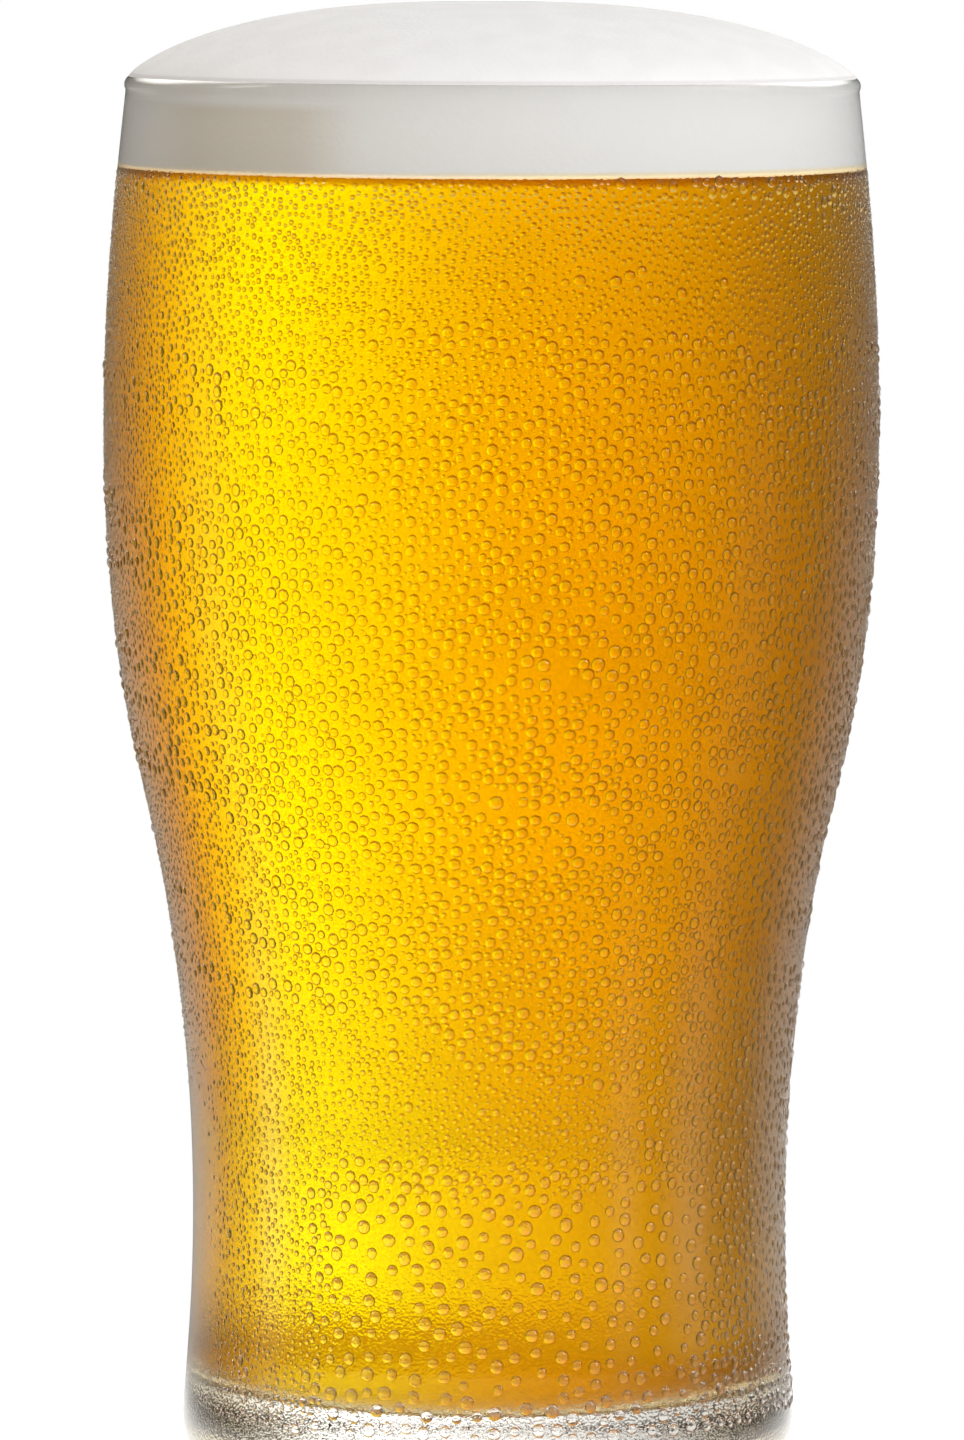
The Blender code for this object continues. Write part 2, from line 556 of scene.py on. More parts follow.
def clear_glass_material():
    """Clear glass under a film of mist, which softens what shows through it."""
    material, tree, shader = clear_material("misted_glass", GLASS_IOR)
    grain = mottling(tree, 0.0003)
    bump = add(tree, "ShaderNodeBump", {"Strength": 0.16, "Distance": 0.0001, "Height": grain})
    values = {
        "Base Color": mix_colours(tree, grain, (0.985, 0.99, 0.985, 1), WHITE),
        "Roughness": mottling(tree, 0.001, 0.05, 0.11),
        "Sheen Weight": 0.07,
        "Sheen Roughness": 0.3,
        "Coat Weight": remap(tree, object_place(tree)["Z"], *FILM_FADE, 0.7, 0.0),
        "Coat Roughness": 0.12,
        "Normal": bump.outputs[0],
    }
    feed(tree, shader, values)
    return material


def rim_material():
    """Bare clear glass along the rim, where no mist settles."""
    material, tree, shader = clear_material("rim_glass", GLASS_IOR, mirror=1.0)
    values = {
        "Base Color": mix_colours(tree, mottling(tree, 0.0006), (0.97, 0.975, 0.975, 1), WHITE),
        "Roughness": mottling(tree, 0.0015, 0.0, 0.03),
    }
    feed(tree, shader, values)
    return material


def wet_glass_material():
    """The inside of the glass, where beer or foam touches it and nothing glints."""
    material, tree, shader = clear_material("wet_glass", GLASS_IOR)
    deep = remap(tree, object_place(tree)["Z"], *AMBER_FADE, 1.0, 0.0)
    tint = mix_colours(tree, mottling(tree, 0.002), (0.995, 1, 0.995, 1), WHITE)
    amber = mix_colours(tree, deep, tint, (0.24, 0.045, 0.001, 1))
    tree.links.new(amber, shader.inputs["Base Color"])
    return material


def beer_material(drink):
    """Golden beer that takes up blue and some green light on its way through, and is amber low down."""
    material, tree, shader = clear_material("golden_beer", BEER_IOR)
    low = remap(tree, object_place(tree)["Z"], *LOW_BEER_FADE, 1.0, 0.0)
    tint = mix_colours(tree, mottling(tree, 0.004), (1, 0.99, 0.97, 1), WHITE)
    amber = mix_colours(tree, low, tint, (0.82, 0.72, 0.40, 1))
    tree.links.new(amber, shader.inputs["Base Color"])
    absorbed = {"Color": (*drink.beer_tint, 1), "Density": drink.beer_depth}
    volume = add(tree, "ShaderNodeVolumeAbsorption", absorbed)
    tree.links.new(volume.outputs[0], tree.nodes["Material Output"].inputs["Volume"])
    return material


def foam_material(drink):
    """White foam of fine bubbles, creamier where it meets the beer, with painted shade on its left below
    the rim and in the crease at the rim, and a painted orange glow just over the beer.
    """
    material, tree, shader = new_material("white_foam")
    place = add(tree, "ShaderNodeTexCoord").outputs["Object"]
    right, _, height = add(tree, "ShaderNodeSeparateXYZ", {0: place}).outputs
    voronoi = {"Vector": place, "Scale": 1 / BUBBLE_SIZE}
    cells = add(tree, "ShaderNodeTexVoronoi", voronoi).outputs["Distance"]
    colour = (*drink.foam_colour, 1)
    shaded = tuple(part * 0.97 for part in drink.foam_colour) + (1,)
    bare = mix_colours(tree, mottling(tree, 0.004), shaded, colour)
    in_glass = remap(tree, height, *DOME_FADE, 1.0, 0.0)
    # Painted shade: the foam in the glass is painted a darker, warmer colour on its left, below the rim
    begun, ended = remap(tree, right, *PAINTED_SHADE_LEFT), remap(tree, right, *PAINTED_SHADE_RIGHT, 1.0, 0.0)
    painted_shade_across = calculate(tree, "MULTIPLY", begun, ended)
    painted_shade = calculate(tree, "MULTIPLY", painted_shade_across, remap(tree, height, *PAINTED_SHADE_TOP, 1.0, 0.15))
    inside = mix_colours(tree, painted_shade, (0.99, 0.985, 0.97, 1), (0.84, 0.79, 0.70, 1))
    with_painted_shade = mix_colours(tree, in_glass, bare, inside)
    low = remap(tree, height, *CREAM_TOP, 1.0, 0.0)
    cream = calculate(tree, "MULTIPLY", low, remap(tree, right, *CREAM_FADE, 0.25, 1.0))
    tinted = mix_colours(tree, cream, with_painted_shade, (1.0, 0.91, 0.66, 1))
    # Painted shade: a thin dark line where the foam meets the crest of the rim
    from_rim = calculate(tree, "ABSOLUTE", calculate(tree, "SUBTRACT", height, GLASS_TOP))
    painted_crease_shade = remap(tree, from_rim, *CREASE_SHADE_FADE, 0.45, 0.0)
    with_crease_shade = mix_colours(tree, painted_crease_shade, tinted, (0.45, 0.42, 0.42, 1))
    # Painted light: the foam glows orange just over the beer, as if lit through it
    under = remap(tree, height, *PAINTED_GLOW_TOP, 1.0, 0.0)
    glow = mix_colours(tree, under, BLACK, (1.0, 0.62, 0.20, 1))
    bump = add(tree, "ShaderNodeBump", {"Strength": 0.18, "Distance": 0.0002, "Height": cells})
    values = {
        "Base Color": with_crease_shade,
        "Roughness": remap(tree, cells, 0.0, 0.6, 0.55, 0.85),
        "Specular IOR Level": 0.15,
        "Emission Color": glow,
        "Emission Strength": 0.5,
        "Normal": bump.outputs[0],
    }
    feed(tree, shader, values)
    material.cycles.emission_sampling = "NONE"
    return material


def water_material(name, mirror):
    """Clear water of the beads, which mirrors the light only where it meets the air."""
    material, tree, shader = clear_material(name, WATER_IOR, mirror)
    tint = mix_colours(tree, mottling(tree, 0.002), (0.985, 0.99, 1, 1), WHITE)
    tree.links.new(tint, shader.inputs["Base Color"])
    return material


class PINT_OT_glass(bpy.types.Operator):
    """Turn the glass"""

    bl_idname = "pint.glass"
    bl_label = "Glass"

    def execute(self, context):
        sizes = context.scene.pint_glass
        piece = turned_piece(
            "pint_glass", glass_profile(sizes), sizes.turning_steps, clear_glass_material()
        )
        piece.data.materials.append(wet_glass_material())
        piece.data.materials.append(rim_material())
        floor = sizes.base_thickness - sizes.rim_radius / 2
        for face in piece.data.polygons:
            x, y, z = face.center
            reach = inner_radius(sizes, z) + INNER_WALL_REACH
            if floor < z < NECK_HEIGHT and math.hypot(x, y) < reach:
                face.material_index = 1
            elif z > RIM_FOOT:
                face.material_index = 2
        hand_over(piece, "clear_glass", "glass")
        return {"FINISHED"}


class PINT_OT_beer(bpy.types.Operator):
    """Fill the glass with beer"""

    bl_idname = "pint.beer"
    bl_label = "Beer"

    def execute(self, context):
        sizes = context.scene.pint_glass
        drink = context.scene.pint_drink
        profile = beer_profile(sizes, drink.overlap)
        piece = turned_piece("golden_beer", profile, sizes.turning_steps, beer_material(drink))
        hand_over(piece, "golden_beer", "beer")
        return {"FINISHED"}


class PINT_OT_foam(bpy.types.Operator):
    """Put the head of foam on the beer"""

    bl_idname = "pint.foam"
    bl_label = "Foam"

    def execute(self, context):
        sizes = context.scene.pint_glass
        drink = context.scene.pint_drink
        profile = foam_profile(sizes, drink)
        piece = turned_piece("white_foam", profile, sizes.turning_steps, foam_material(drink))
        hand_over(piece, "white_foam", "foam_head")
        return {"FINISHED"}


# How far a bead of radius 1 reaches under its plane, and how much wider it opens to get there
BEAD_SINK = 0.12
BEAD_WIDENING = 1.12


def bead_mesh(sides, rings, rise):
    """A bead of radius 1 on the plane z = 0: a low dome that goes on a little way under the plane."""
    opening = 2 * math.atan(rise)
    ball = 1 / math.sin(opening)
    low = -ball * math.cos(opening)
    points = [(0.0, 0.0, low + ball)]
    for angle in between(0, opening * BEAD_WIDENING, rings)[1:]:
        radius = ball * math.sin(angle)
        height = max(low + ball * math.cos(angle), -BEAD_SINK)
        points += [
            (
                radius * math.cos(2 * math.pi * i / sides),
                radius * math.sin(2 * math.pi * i / sides),
                height,
            )
            for i in range(sides)
        ]
    faces = [(0, 1 + i, 1 + (i + 1) % sides) for i in range(sides)]
    for ring in range(rings - 1):
        first = 1 + ring * sides
        for i in range(sides):
            j = (i + 1) % sides
            faces.append((first + i, first + sides + i, first + sides + j, first + j))
    last = 1 + (rings - 1) * sides
    faces.append(tuple(last + i for i in reversed(range(sides))))
    mesh = bpy.data.meshes.new("bead")
    mesh.from_pydata(points, [], faces)
    mesh.shade_smooth()
    mesh.polygons[len(faces) - 1].use_smooth = False
    underside = mesh.attributes.new("underside", "BOOLEAN", "FACE")
    underside.data[len(faces) - 1].value = True
    return mesh


def attribute(tree, name, kind):
    """The output of a Named Attribute node."""
    node = add(tree, "GeometryNodeInputNamedAttribute", {"Name": name}, data_type=kind)
    return node.outputs[0]


def compare(tree, first, operation, second):
    """The output of a Compare node on two numbers."""
    inputs = {"A": first, "B": second}
    node = add(tree, "FunctionNodeCompare", inputs, data_type="FLOAT", operation=operation)
    return node.outputs[0]


def combine(tree, first, operation, second):
    """The output of a Boolean Math node."""
    inputs = {0: first, 1: second}
    return add(tree, "FunctionNodeBooleanMath", inputs, operation=operation).outputs[0]


# The numbers that the condensation tree asks for, in this order
BEAD_LIMITS = "Clearance Spacing Smallest Largest Finest Coarsest Blend Lowest Highest".split()


def condensation_tree():
    """A tree that scatters beads evenly over a surface, upright along its normals."""
    if "condensation" in bpy.data.node_groups:
        return bpy.data.node_groups["condensation"]
    tree, given = new_tree(
        "condensation",
        "GeometryNodeTree",
        (
            ("Surface", "Geometry"),
            ("Bead", "Object"),
            ("Keep Clear Of", "Object"),
            *((label, "Float") for label in BEAD_LIMITS),
            ("Seed", "Int"),
            ("Material", "Material"),
            ("Underside Material", "Material"),
        ),
        (("Beads", "Geometry"),),
    )
    coarse = attribute(tree, "coarseness", "FLOAT")
    above, below = (
        remap(
            tree,
            coarse,
            calculate(tree, "SUBTRACT", given[limit], given["Blend"]),
            calculate(tree, "ADD", given[limit], given["Blend"]),
            *ends,
        )
        for limit, ends in (("Finest", (0.0, 1.0)), ("Coarsest", (1.0, 0.0)))
    )
    in_range = calculate(tree, "MULTIPLY", above, below)
    chance = calculate(tree, "MULTIPLY", in_range, attribute(tree, "coverage", "FLOAT"))
    square = calculate(tree, "MULTIPLY", given["Spacing"], given["Spacing"])
    crowding = calculate(tree, "DIVIDE", 4.0, square)
    scattered = add(
        tree,
        "GeometryNodeDistributePointsOnFaces",
        {
            "Mesh": given["Surface"],
            "Distance Min": given["Spacing"],
            "Density Max": crowding,
            "Density Factor": chance,
            "Seed": given["Seed"],
        },
        distribute_method="POISSON",
    )
    position = add(tree, "GeometryNodeInputPosition").outputs[0]
    height = add(tree, "ShaderNodeSeparateXYZ", {0: position}).outputs["Z"]
    too_low = compare(tree, height, "LESS_THAN", given["Lowest"])
    too_high = compare(tree, height, "GREATER_EQUAL", given["Highest"])
    taken = add(
        tree,
        "GeometryNodeObjectInfo",
        {"Object": given["Keep Clear Of"]},
        transform_space="RELATIVE",
    ).outputs["Geometry"]
    nearest = add(tree, "GeometryNodeProximity", {"Geometry": taken}, target_element="FACES")
    crowded = compare(tree, nearest.outputs["Distance"], "LESS_THAN", given["Clearance"])
    blocked = combine(tree, crowded, "AND", nearest.outputs["Is Valid"])
    outside = combine(tree, too_low, "OR", too_high)
    unwanted = combine(tree, outside, "OR", blocked)
    kept = add(
        tree,
        "GeometryNodeDeleteGeometry",
        {"Geometry": scattered.outputs["Points"], "Selection": unwanted},
        domain="POINT",
    )
    upright = add(
        tree,
        "FunctionNodeAxesToRotation",
        {"Primary Axis": scattered.outputs["Normal"], "Secondary Axis": (0, 0, 1)},
        primary_axis="Z",
        secondary_axis="Y",
    )
    draw = add(tree, "FunctionNodeRandomValue", {"Seed": given["Seed"]}, data_type="FLOAT")
    size = remap(tree, draw.outputs[1], 0.0, 1.0, given["Smallest"], given["Largest"])
    stretch = add(
        tree,
        "FunctionNodeRandomValue",
        {0: (0.90, 0.92, 0.80), 1: (1.04, 1.10, 1.15), "Seed": 3},
        data_type="FLOAT_VECTOR",
    )
    scale = scaled(tree, stretch.outputs[0], size)
    shape = add(tree, "GeometryNodeObjectInfo", {"Object": given["Bead"]})
    beads = add(
        tree,
        "GeometryNodeInstanceOnPoints",
        {
            "Points": kept.outputs[0],
            "Instance": shape.outputs["Geometry"],
            "Rotation": upright.outputs[0],
            "Scale": scale,
        },
    )
    both = add(
        tree,
        "GeometryNodeSetMaterial",
        {
            "Geometry": finished(tree, beads.outputs[0], given["Material"]),
            "Selection": attribute(tree, "underside", "BOOLEAN"),
            "Material": given["Underside Material"],
        },
    )
    add(tree, "NodeGroupOutput", {"Beads": both.outputs[0]})
    return tree


# Heights between which the large beads at the two sides, those at the right and the bare side end
LARGE_TOP = (0.028, 0.042)
RIGHT_TOP = (0.040, 0.060)
BARE_SIDE_TOP = (0.040, 0.056)
# Where the beads on the belly are coarsest: its height, how far that spreads, and its direction
BELLY_HEIGHT = 0.088
BELLY_SPREAD = 0.036
BELLY_SIDE = math.radians(-68)


def fade(value, low, high):
    """Goes smoothly from 0 at low to 1 at high."""
    share = max(0.0, min(1.0, (value - low) / (high - low)))
    return share * share * (3 - 2 * share)


def coarseness(angle, height):
    """How large the beads are at a place on the wall, from 0 for the finest to 1 for the largest."""
    nearest, farthest = (0.45, 0.80) if math.cos(angle) > 0 else (0.72, 0.92)
    facing = fade(abs(math.sin(angle)), nearest, farthest)
    low = (1 - fade(height, *LARGE_TOP)) * facing
    belly = math.exp(-(((height - BELLY_HEIGHT) / BELLY_SPREAD) ** 2))
    side = 0.5 + 0.5 * math.cos(angle - BELLY_SIDE)
    right = (1 - fade(height, *RIGHT_TOP)) * fade(math.cos(angle), 0.2, 0.6)
    return max(low * 0.95, 0.14 + belly * (0.12 + 0.46 * side**3) + 0.34 * right)


def coverage(angle, height):
    """What share of the beads a place on the wall keeps: the low left side is bare."""
    return 1 - fade(-math.cos(angle), 0.86, 0.95) * (1 - fade(height, *BARE_SIDE_TOP))


def wall_surface(lowest, highest):
    """The outer wall as an open sheet that carries how coarse the beads are at each place."""
    rows, columns = 120, 192
    points = []
    coarse = []
    kept = []
    rng = np.random.default_rng(WAVE_SEED)
    waves = [
        (rng.integers(1, 7), rng.uniform(40, 260), rng.uniform(0, 2 * math.pi))
        for _ in range(WAVE_COUNT)
    ]
    for z in between(lowest, highest, rows):
        radius = outer_radius(z) if z >= FOOT_HEIGHT else FOOT_RADIUS
        for i in range(columns):
            angle = 2 * math.pi * i / columns
            points.append((radius * math.cos(angle), radius * math.sin(angle), z))
            ripple = sum(
                math.sin(turns * angle + pitch * z * 6 + phase) for turns, pitch, phase in waves
            )
            coarse.append(coarseness(angle, z) + WAVE_HEIGHT * ripple)
            kept.append(coverage(angle, z))
    faces = [
        (
            row * columns + i,
            row * columns + (i + 1) % columns,
            (row + 1) * columns + (i + 1) % columns,
            (row + 1) * columns + i,
        )
        for row in range(rows)
        for i in range(columns)
    ]
    mesh = bpy.data.meshes.new("wall_surface")
    mesh.from_pydata(points, [], faces)
    for name, values in (("coarseness", coarse), ("coverage", kept)):
        mesh.attributes.new(name, "FLOAT", "POINT").data.foreach_set("value", values)
    return mesh


# The waves that make the sizes of the beads change a little from place to place
WAVE_SEED = 11
WAVE_COUNT = 9
WAVE_HEIGHT = 0.035
# The lowest height that beads reach, and how far they stay under the top of the beer
LOWEST_BEAD = 0.0075
BARE_TOP = 0.0003
# How far beads stay from larger ones, for each radius of the smallest, and how sizes blend
BEAD_CLEARANCE = 1.4
BEAD_BLEND = 0.06


def joined(pieces):
    """One object with the meshes of all these pieces, or None."""
    if not pieces:
        return None
    shape = bmesh.new()
    for piece in pieces:
        shape.from_mesh(piece.data)
    mesh = bpy.data.meshes.new("blocker")
    shape.to_mesh(mesh)
    shape.free()
    blocker = bpy.data.objects.new("blocker", mesh)
    bpy.context.scene.collection.objects.link(blocker)
    return blocker


# size: (sides, rings, rise, spacing, smallest, largest, finest, coarsest)
BEAD_SIZES = {
    "large": (12, 3, 0.46, 0.0018, 0.00052, 0.00074, 0.74, 9.0),
    "medium": (8, 2, 0.37, 0.00122, 0.00042, 0.00064, 0.32, 0.78),
    "small": (6, 1, 0.36, 0.00068, 0.00020, 0.00034, -9.0, 0.66),
}
# name: (size, lowest, highest)
BEAD_PIECES = {
    "beads_large": ("large", 0.0, 1.0),
    "beads_medium_low": ("medium", 0.0, 0.080),
    "beads_medium_high": ("medium", 0.080, 1.0),
    "beads_small_low": ("small", 0.0, 0.055),
    "beads_small_middle": ("small", 0.055, 0.100),
    "beads_small_high": ("small", 0.100, 1.0),
}


class PINT_OT_condensation(bpy.types.Operator):
    """Scatter beads of condensation over the outside of the glass"""

    bl_idname = "pint.condensation"
    bl_label = "Condensation"

    def execute(self, context):
        settings = context.scene.pint_condensation
        material = water_material("water_bead", 1.0)
        under = water_material("water_on_glass", 0.0)
        made = []
        for name, (size, lowest, highest) in BEAD_PIECES.items():
            sides, rings, rise, spacing, smallest, *others = BEAD_SIZES[size]
            shape = bpy.data.objects.new("bead", bead_mesh(sides, rings, rise * settings.rise))
            blocker = joined([piece for other, piece in made if other != size])
            clearance = smallest * BEAD_CLEARANCE
            limits = (clearance, spacing, smallest, *others, BEAD_BLEND, lowest, highest)
            values = {
                **dict(zip(BEAD_LIMITS, limits)),
                "Bead": shape,
                "Seed": settings.seed + len(size),
                "Material": material,
                "Underside Material": under,
            }
            if blocker:
                values["Keep Clear Of"] = blocker
            surface = wall_surface(LOWEST_BEAD, BEER_TOP - BARE_TOP)
            piece = apply_tree(name, surface, condensation_tree(), values)
            bpy.data.objects.remove(shape)
            if blocker:
                bpy.data.objects.remove(blocker)
            made.append((size, piece))
        for _, piece in made:
            hand_over(piece, "clear_glass")
        return {"FINISHED"}


# Light that comes through the drink, as (azimuth in degrees, brightness, red, green, blue). Azimuth 0 is
# behind the glass and 90 is to its right. A row without red, green and blue is white.
GLOW_ROUND = (
    (-180, 1.00, 1, 0.70, 0.60),
    (-150, 0.98, 1, 0.68, 0.58),
    (-115, 1.00, 1, 0.66, 0.58),
    (-84, 0.84, 1, 0.60, 0.50),
    (-60, 0.40, 1, 0.50, 0.40),
    (-42, 0.36, 1, 0.47, 0.36),
    (-28, 0.43, 1, 0.46, 0.36),
    (-18, 0.71, 1, 0.50, 0.40),
    (-8, 0.99, 1, 0.56, 0.45),
    (0, 1.10, 1, 0.65, 0.55),
    (7, 1.22, 1, 0.84, 0.75),
    (17, 1.46, 1, 0.98, 0.98),
    (25, 1.36, 1, 0.90, 0.85),
    (34, 1.22, 1, 0.58, 0.46),
    (46, 0.90, 1, 0.36, 0.28),
    (62, 0.72, 1, 0.46, 0.38),
    (82, 0.76, 1, 0.62, 0.54),
    (105, 0.95, 1, 0.76, 0.66),
    (130, 1.25, 1, 0.82, 0.72),
    (155, 1.15, 1, 0.76, 0.66),
    (180, 1.00, 1, 0.70, 0.60),
)
# The same light, as (sine of the height angle, brightness, red, green, blue)
GLOW_UP = (
    (-1.0, 0.30, 1, 0.50, 0.35),
    (-0.5, 0.44, 1, 0.56, 0.40),
    (-0.29, 0.76, 1, 0.78, 0.60),
    (-0.165, 1.12, 1, 1.24, 1.05),
    (-0.135, 1, 1.00, 1.26, 1.12),
    (-0.08, 1.04),
    (0.0, 1.12, 1, 0.93, 0.95),
    (0.15, 1.26),
    (0.36, 1.15, 1, 0.98, 0.95),
    (0.60, 0.64, 1, 0.82, 0.62),
    (1.0, 0.60, 1, 0.82, 0.62),
)
# Light that shiny surfaces mirror, with narrow lamps on both sides and high up
GLINT_ROUND = (
    (-180, 0.10),
    (-110, 0.12),
    (-96, 0.40),
    (-87, 4.00),
    (-78, 0.40),
    (-68, 0.12),
    (-56, 0.50, 1, 0.97, 0.92),
    (-44, 2.00, 1, 0.97, 0.92),
    (-16, 1.60, 1, 0.97, 0.92),
    (0, 0.80, 1, 0.97, 0.92),
    (18, 1.30, 1, 0.97, 0.92),
    (46, 1.90, 1, 0.97, 0.92),
    (58, 0.50, 1, 0.97, 0.92),
    (70, 0.14),
    (84, 0.60, 1, 0.97, 0.90),
    (96, 4.00, 1, 0.97, 0.88),
    (107, 0.60, 1, 0.97, 0.90),
    (118, 0.30),
    (126, 3.00),
    (134, 0.30),
    (180, 0.10),
)
GLINT_UP = (
    (-1.0, 0.15),
    (-0.3, 0.25),
    (-0.13, 0.28),
    (-0.10, 0.22),
    (-0.06, 0.09),
    (0.0, 0.08),
    (0.20, 0.20),
    (0.40, 3.00),
    (0.66, 3.40),
    (0.85, 1.20),
    (1.0, 1.00),
)
# Light that falls on what is matt
FILL_ROUND = (
    (-180, 3.05, 1, 0.99, 0.98),
    (-165, 1.75, 1, 0.97, 0.94),
    (-150, 0.50, 1, 0.93, 0.86),
    (-120, 0.98, 1, 0.92, 0.80),
    (-60, 1.00, 1, 0.96, 0.90),
    (0, 0.90),
    (60, 1.70),
    (90, 1.95),
    (120, 1.75),
    (150, 2.45),
    (180, 3.05, 1, 0.99, 0.98),
)
FILL_UP = (
    (-1.0, 0.30),
    (-0.4, 0.55),
    (0.0, 1.00),
    (0.5, 0.82),
    (1.0, 0.72),
)
# How much of the light from the sides of the back comes through the drink, by height
SIDE_UP = (
    (-1.0, 1, 1.00, 1.10, 1.20),
    (-0.20, 1.20, 1, 1.20, 1.50),
    (-0.13, 1.50, 1, 1.20, 1.60),
    (-0.11, 0.90),
    (-0.095, 0.36, 1, 0.82, 0.82),
    (-0.06, 0.38, 1, 0.80, 0.80),
    (-0.03, 0.50, 1, 0.94, 0.94),
    (0.02, 0.70),
    (1.0, 0.72),
)
# Cosines of the azimuths between which that takes effect, from not at all to fully
SIDE_FROM = 0.88
SIDE_TO = 0.64
# The brightness that a colour ramp shows as 1
BRIGHTEST = 4.0
# Light that has passed few surfaces: its colour, its colour at the sides, and its least and added strength
PALE = (1.1, 1.07, 1.0, 1)
PALE_SIDE = (1.1, 1.0, 0.74, 1)
PALE_LEAST = 0.52
PALE_SHARE = 0.60
FEW_SURFACES = 4.5
# Light from the front that was mirrored inside a bead is dimmed by this share
MIRRORED_DIMMING = 0.9


def glow_ramp(tree, value, stops):
    """The output of a smooth colour ramp over value, through (place, colour) stops."""
    node = add(tree, "ShaderNodeValToRGB", {0: value})
    ramp = node.color_ramp
    ramp.interpolation = "CARDINAL"
    while len(ramp.elements) < len(stops):
        ramp.elements.new(0.5)
    for element, (place, colour) in zip(ramp.elements, stops):
        element.position = place
        element.color = colour
    return node.outputs["Color"]


def stop_colour(bright, colour):
    """The colour of a ramp's stop: a brightness, and red, green and blue unless it is white."""
    return tuple(bright * part / BRIGHTEST for part in colour or (1, 1, 1)) + (1,)


def height_ramp(tree, parts, up_stops):
    """The output of a colour ramp over the sine of the height angle of a direction."""
    level = calculate(tree, "MULTIPLY_ADD", parts["Z"], 0.5, 0.5)
    stops = [(sine / 2 + 0.5, stop_colour(bright, colour)) for sine, bright, *colour in up_stops]
    return glow_ramp(tree, level, stops)


def light_pattern(tree, parts, round_stops, up_stops, strength):
    """The colour of the light from a direction, as a product of stops round the axis and up it."""
    turn = calculate(tree, "ARCTAN2", parts["X"], parts["Y"])
    place = calculate(tree, "MULTIPLY_ADD", turn, 1 / (2 * math.pi), 0.5)
    stops = [
        (azimuth / 360 + 0.5, stop_colour(bright, colour))
        for azimuth, bright, *colour in round_stops
    ]
    around = glow_ramp(tree, place, stops)
    product = multiplied(tree, around, height_ramp(tree, parts, up_stops))
    return scaled(tree, product, BRIGHTEST**2 * strength)


def glow_light(tree, parts, path, strength):
    """The colour of light that came through the glass: rich through the drink, pale through little."""
    strong = light_pattern(tree, parts, GLOW_ROUND, GLOW_UP, strength)
    aside = remap(tree, parts["Y"], SIDE_TO, SIDE_FROM, 1.0, 0.0)
    full = (1 / BRIGHTEST,) * 3 + (1,)
    passed = mix_colours(tree, aside, full, height_ramp(tree, parts, SIDE_UP))
    rich = scaled(tree, multiplied(tree, strong, passed), BRIGHTEST)
    grey = add(tree, "ShaderNodeRGBToBW", {0: strong}).outputs[0]
    even = calculate(tree, "MULTIPLY_ADD", grey, PALE_SHARE, PALE_LEAST)
    pale = scaled(tree, mix_colours(tree, aside, PALE, PALE_SIDE), even)
    few = calculate(tree, "LESS_THAN", path["Transmission Depth"], FEW_SURFACES)
    chosen = mix_colours(tree, few, rich, pale)
    mirrored = calculate(tree, "GREATER_THAN", path["Glossy Depth"], 0.5)
    entered = calculate(tree, "GREATER_THAN", path["Transmission Depth"], 2.5)
    bounced = calculate(tree, "MULTIPLY", mirrored, entered)
    front = remap(tree, parts["Y"], -0.35, 0.05, MIRRORED_DIMMING, 0.0)
    kept = calculate(tree, "SUBTRACT", 1.0, calculate(tree, "MULTIPLY", bounced, front))
    return scaled(tree, chosen, kept)


def make_world(studio):
    """Soft light from all round, white where the camera sees it."""
    world = bpy.data.worlds.new("soft_studio")
    world.use_nodes = True
    tree = world.node_tree
    direction = add(tree, "ShaderNodeTexCoord").outputs["Generated"]
    parts = add(tree, "ShaderNodeSeparateXYZ", {0: direction}).outputs
    path = add(tree, "ShaderNodeLightPath").outputs
    strength = studio.light_strength
    glow = glow_light(tree, parts, path, strength)
    glint = light_pattern(tree, parts, GLINT_ROUND, GLINT_UP, strength)
    fill = light_pattern(tree, parts, FILL_ROUND, FILL_UP, strength)
    mirrored = mix_colours(tree, path["Is Reflection Ray"], glow, glint)
    matt = calculate(tree, "GREATER_THAN", path["Diffuse Depth"], 0.5)
    soft = mix_colours(tree, matt, mirrored, fill)
    shown = mix_colours(tree, path["Is Camera Ray"], soft, WHITE)
    tree.links.new(shown, tree.nodes["Background"].inputs["Color"])
    world.cycles.sampling_method = "NONE"
    bpy.context.scene.world = world


# The size of the table top, and the distances from the axis between which it fades away
TABLE_RADIUS = 0.17
TABLE_FADE = (0.05, 0.11)
# How far the camera stands to the left of the axis, and how far it is rolled
CAMERA_LEFT = 0.0009
CAMERA_ROLL = math.radians(0.2)


def floor_material():
    """A white table top that fades into the white background. Seen through the glass it is painted
    brighter than white, and seen through the drink it is painted amber: painted light that stands in for
    what the glass and the drink throw on it.
    """
    material = bpy.data.materials.new("white_table")
    material.cycles.emission_sampling = "NONE"
    material.use_nodes = True
    tree = material.node_tree
    tree.nodes.remove(tree.nodes["Principled BSDF"])
    place = add(tree, "ShaderNodeTexCoord").outputs["Object"]
    far = add(tree, "ShaderNodeVectorMath", {0: place}, operation="LENGTH").outputs["Value"]
    faded = remap(tree, far, *TABLE_FADE)
    # Painted light: brighter than white where seen through the glass, amber where seen through the drink
    surfaces = add(tree, "ShaderNodeLightPath").outputs["Transmission Depth"]
    seen = calculate(tree, "GREATER_THAN", surfaces, 0.5)
    white = mix_colours(tree, seen, WHITE, (1.12, 1.09, 1.05, 1))
    painted_amber_mask = calculate(tree, "GREATER_THAN", surfaces, FEW_SURFACES)
    colour = mix_colours(tree, painted_amber_mask, white, (0.66, 0.41, 0.27, 1))
    dimmed = mix_colours(tree, 0.5, colour, BLACK)
    matt = add(tree, "ShaderNodeBsdfDiffuse", {"Color": dimmed}).outputs[0]
    lit = add(tree, "ShaderNodeEmission", {"Color": colour, "Strength": 0.82}).outputs[0]
    bright = add(tree, "ShaderNodeAddShader", {0: matt, 1: lit}).outputs[0]
    clear = add(tree, "ShaderNodeBsdfTransparent").outputs[0]
    mixed = add(tree, "ShaderNodeMixShader", {0: faded, 1: bright, 2: clear}).outputs[0]
    tree.links.new(mixed, tree.nodes["Material Output"].inputs["Surface"])
    return material


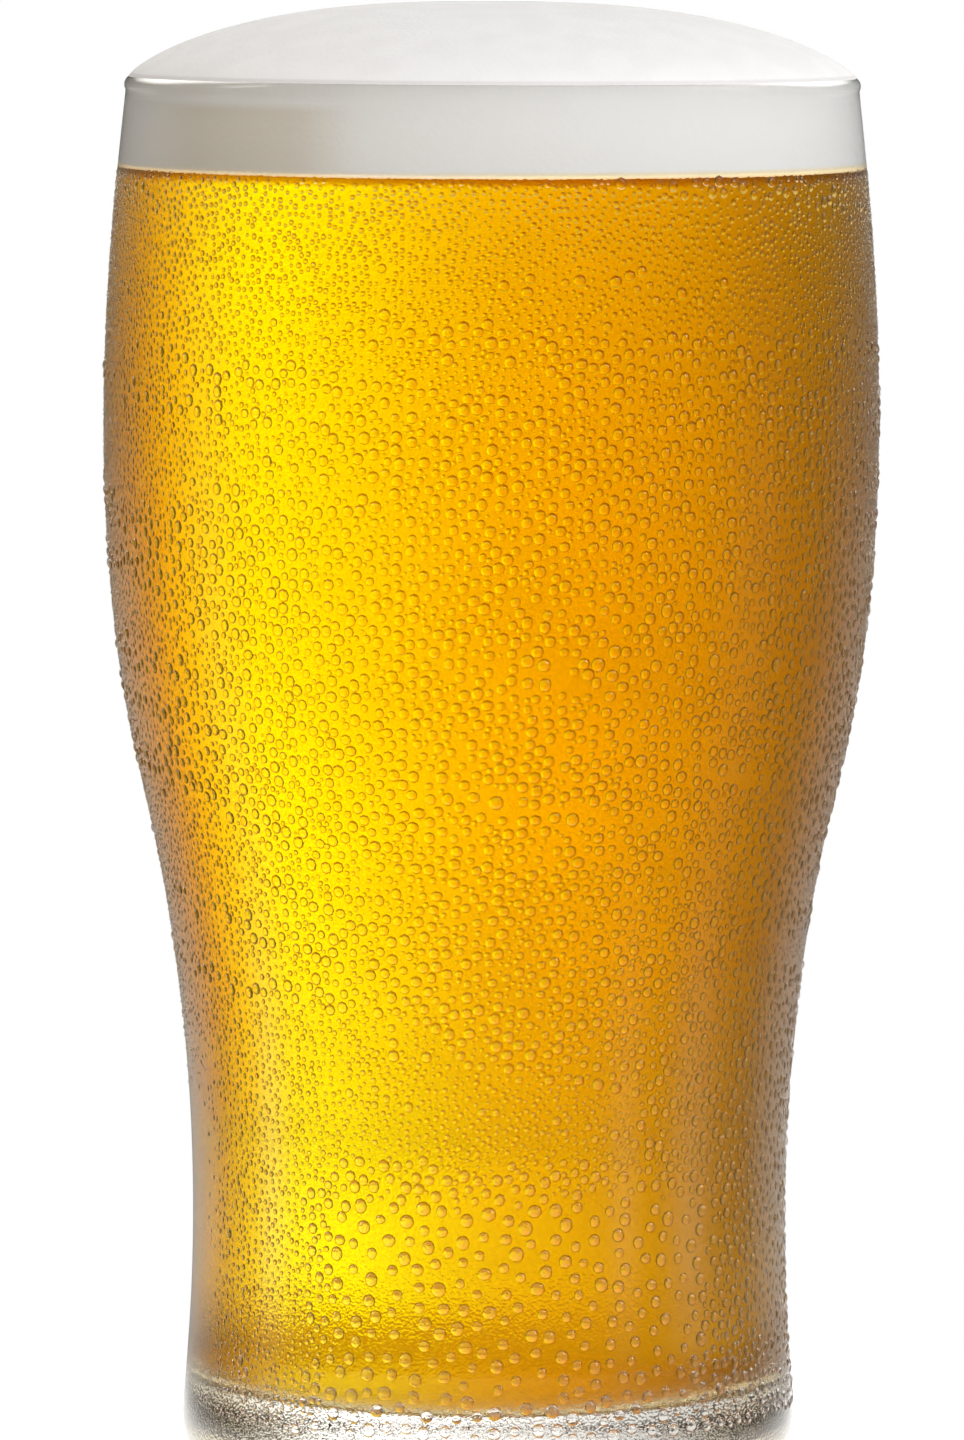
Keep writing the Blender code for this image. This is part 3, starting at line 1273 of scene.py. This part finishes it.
class PINT_OT_stage(bpy.types.Operator):
    """Set up the table, the light and the camera"""

    bl_idname = "pint.stage"
    bl_label = "Stage"

    def execute(self, context):
        studio = context.scene.pint_studio
        scene = context.scene
        bpy.ops.mesh.primitive_circle_add(vertices=96, radius=TABLE_RADIUS, fill_type="NGON")
        floor = context.object
        floor.name = "table_top"
        floor.data.materials.append(floor_material())
        make_world(studio)
        camera = bpy.data.objects.new("camera", bpy.data.cameras.new("camera"))
        scene.collection.objects.link(camera)
        camera.data.lens = studio.lens
        camera.data.sensor_width = 36
        camera.data.sensor_fit = "AUTO"
        place = (-CAMERA_LEFT, -studio.camera_distance, studio.camera_height)
        camera.matrix_world = (
            Matrix.Translation(place)
            @ Matrix.Rotation(math.pi / 2 - studio.camera_tilt, 4, "X")
            @ Matrix.Rotation(CAMERA_ROLL, 4, "Z")
        )
        scene.camera = camera
        scene.view_settings.view_transform = "Standard"
        scene.view_settings.look = "None"
        scene.cycles.max_bounces = 40
        scene.cycles.diffuse_bounces = 8
        scene.cycles.transmission_bounces = 40
        scene.cycles.transparent_max_bounces = 16
        return {"FINISHED"}


class PINT_PT_panel(bpy.types.Panel):
    """The steps that make the pint, in order"""

    bl_label = "Pint of Beer"
    bl_idname = "PINT_PT_panel"
    bl_space_type = "VIEW_3D"
    bl_region_type = "UI"
    bl_category = "Pint"

    def draw(self, context):
        layout = self.layout
        for step in STEPS:
            layout.operator(step.bl_idname)
        for name, group in SETTINGS.items():
            box = layout.box()
            settings = getattr(context.scene, name)
            for label in group.__annotations__:
                box.prop(settings, label)


SETTINGS = {
    "pint_glass": GlassSettings,
    "pint_drink": DrinkSettings,
    "pint_condensation": CondensationSettings,
    "pint_studio": StudioSettings,
}
STEPS = (PINT_OT_glass, PINT_OT_beer, PINT_OT_foam, PINT_OT_condensation, PINT_OT_stage)


def register():
    """Registers the settings, the steps and the panel."""
    for group in SETTINGS.values():
        bpy.utils.register_class(group)
    for step in STEPS:
        bpy.utils.register_class(step)
    bpy.utils.register_class(PINT_PT_panel)
    for name, group in SETTINGS.items():
        setattr(bpy.types.Scene, name, PointerProperty(type=group))


def unregister():
    """Takes away what register added."""
    for name in SETTINGS:
        delattr(bpy.types.Scene, name)
    bpy.utils.unregister_class(PINT_PT_panel)
    for step in reversed(STEPS):
        bpy.utils.unregister_class(step)
    for group in reversed(list(SETTINGS.values())):
        bpy.utils.unregister_class(group)


def main():
    """Makes every piece and the stage."""
    register()
    bpy.ops.pint.glass()
    bpy.ops.pint.beer()
    bpy.ops.pint.foam()
    bpy.ops.pint.condensation()
    bpy.ops.pint.stage()


if __name__ == "__main__":
    main()
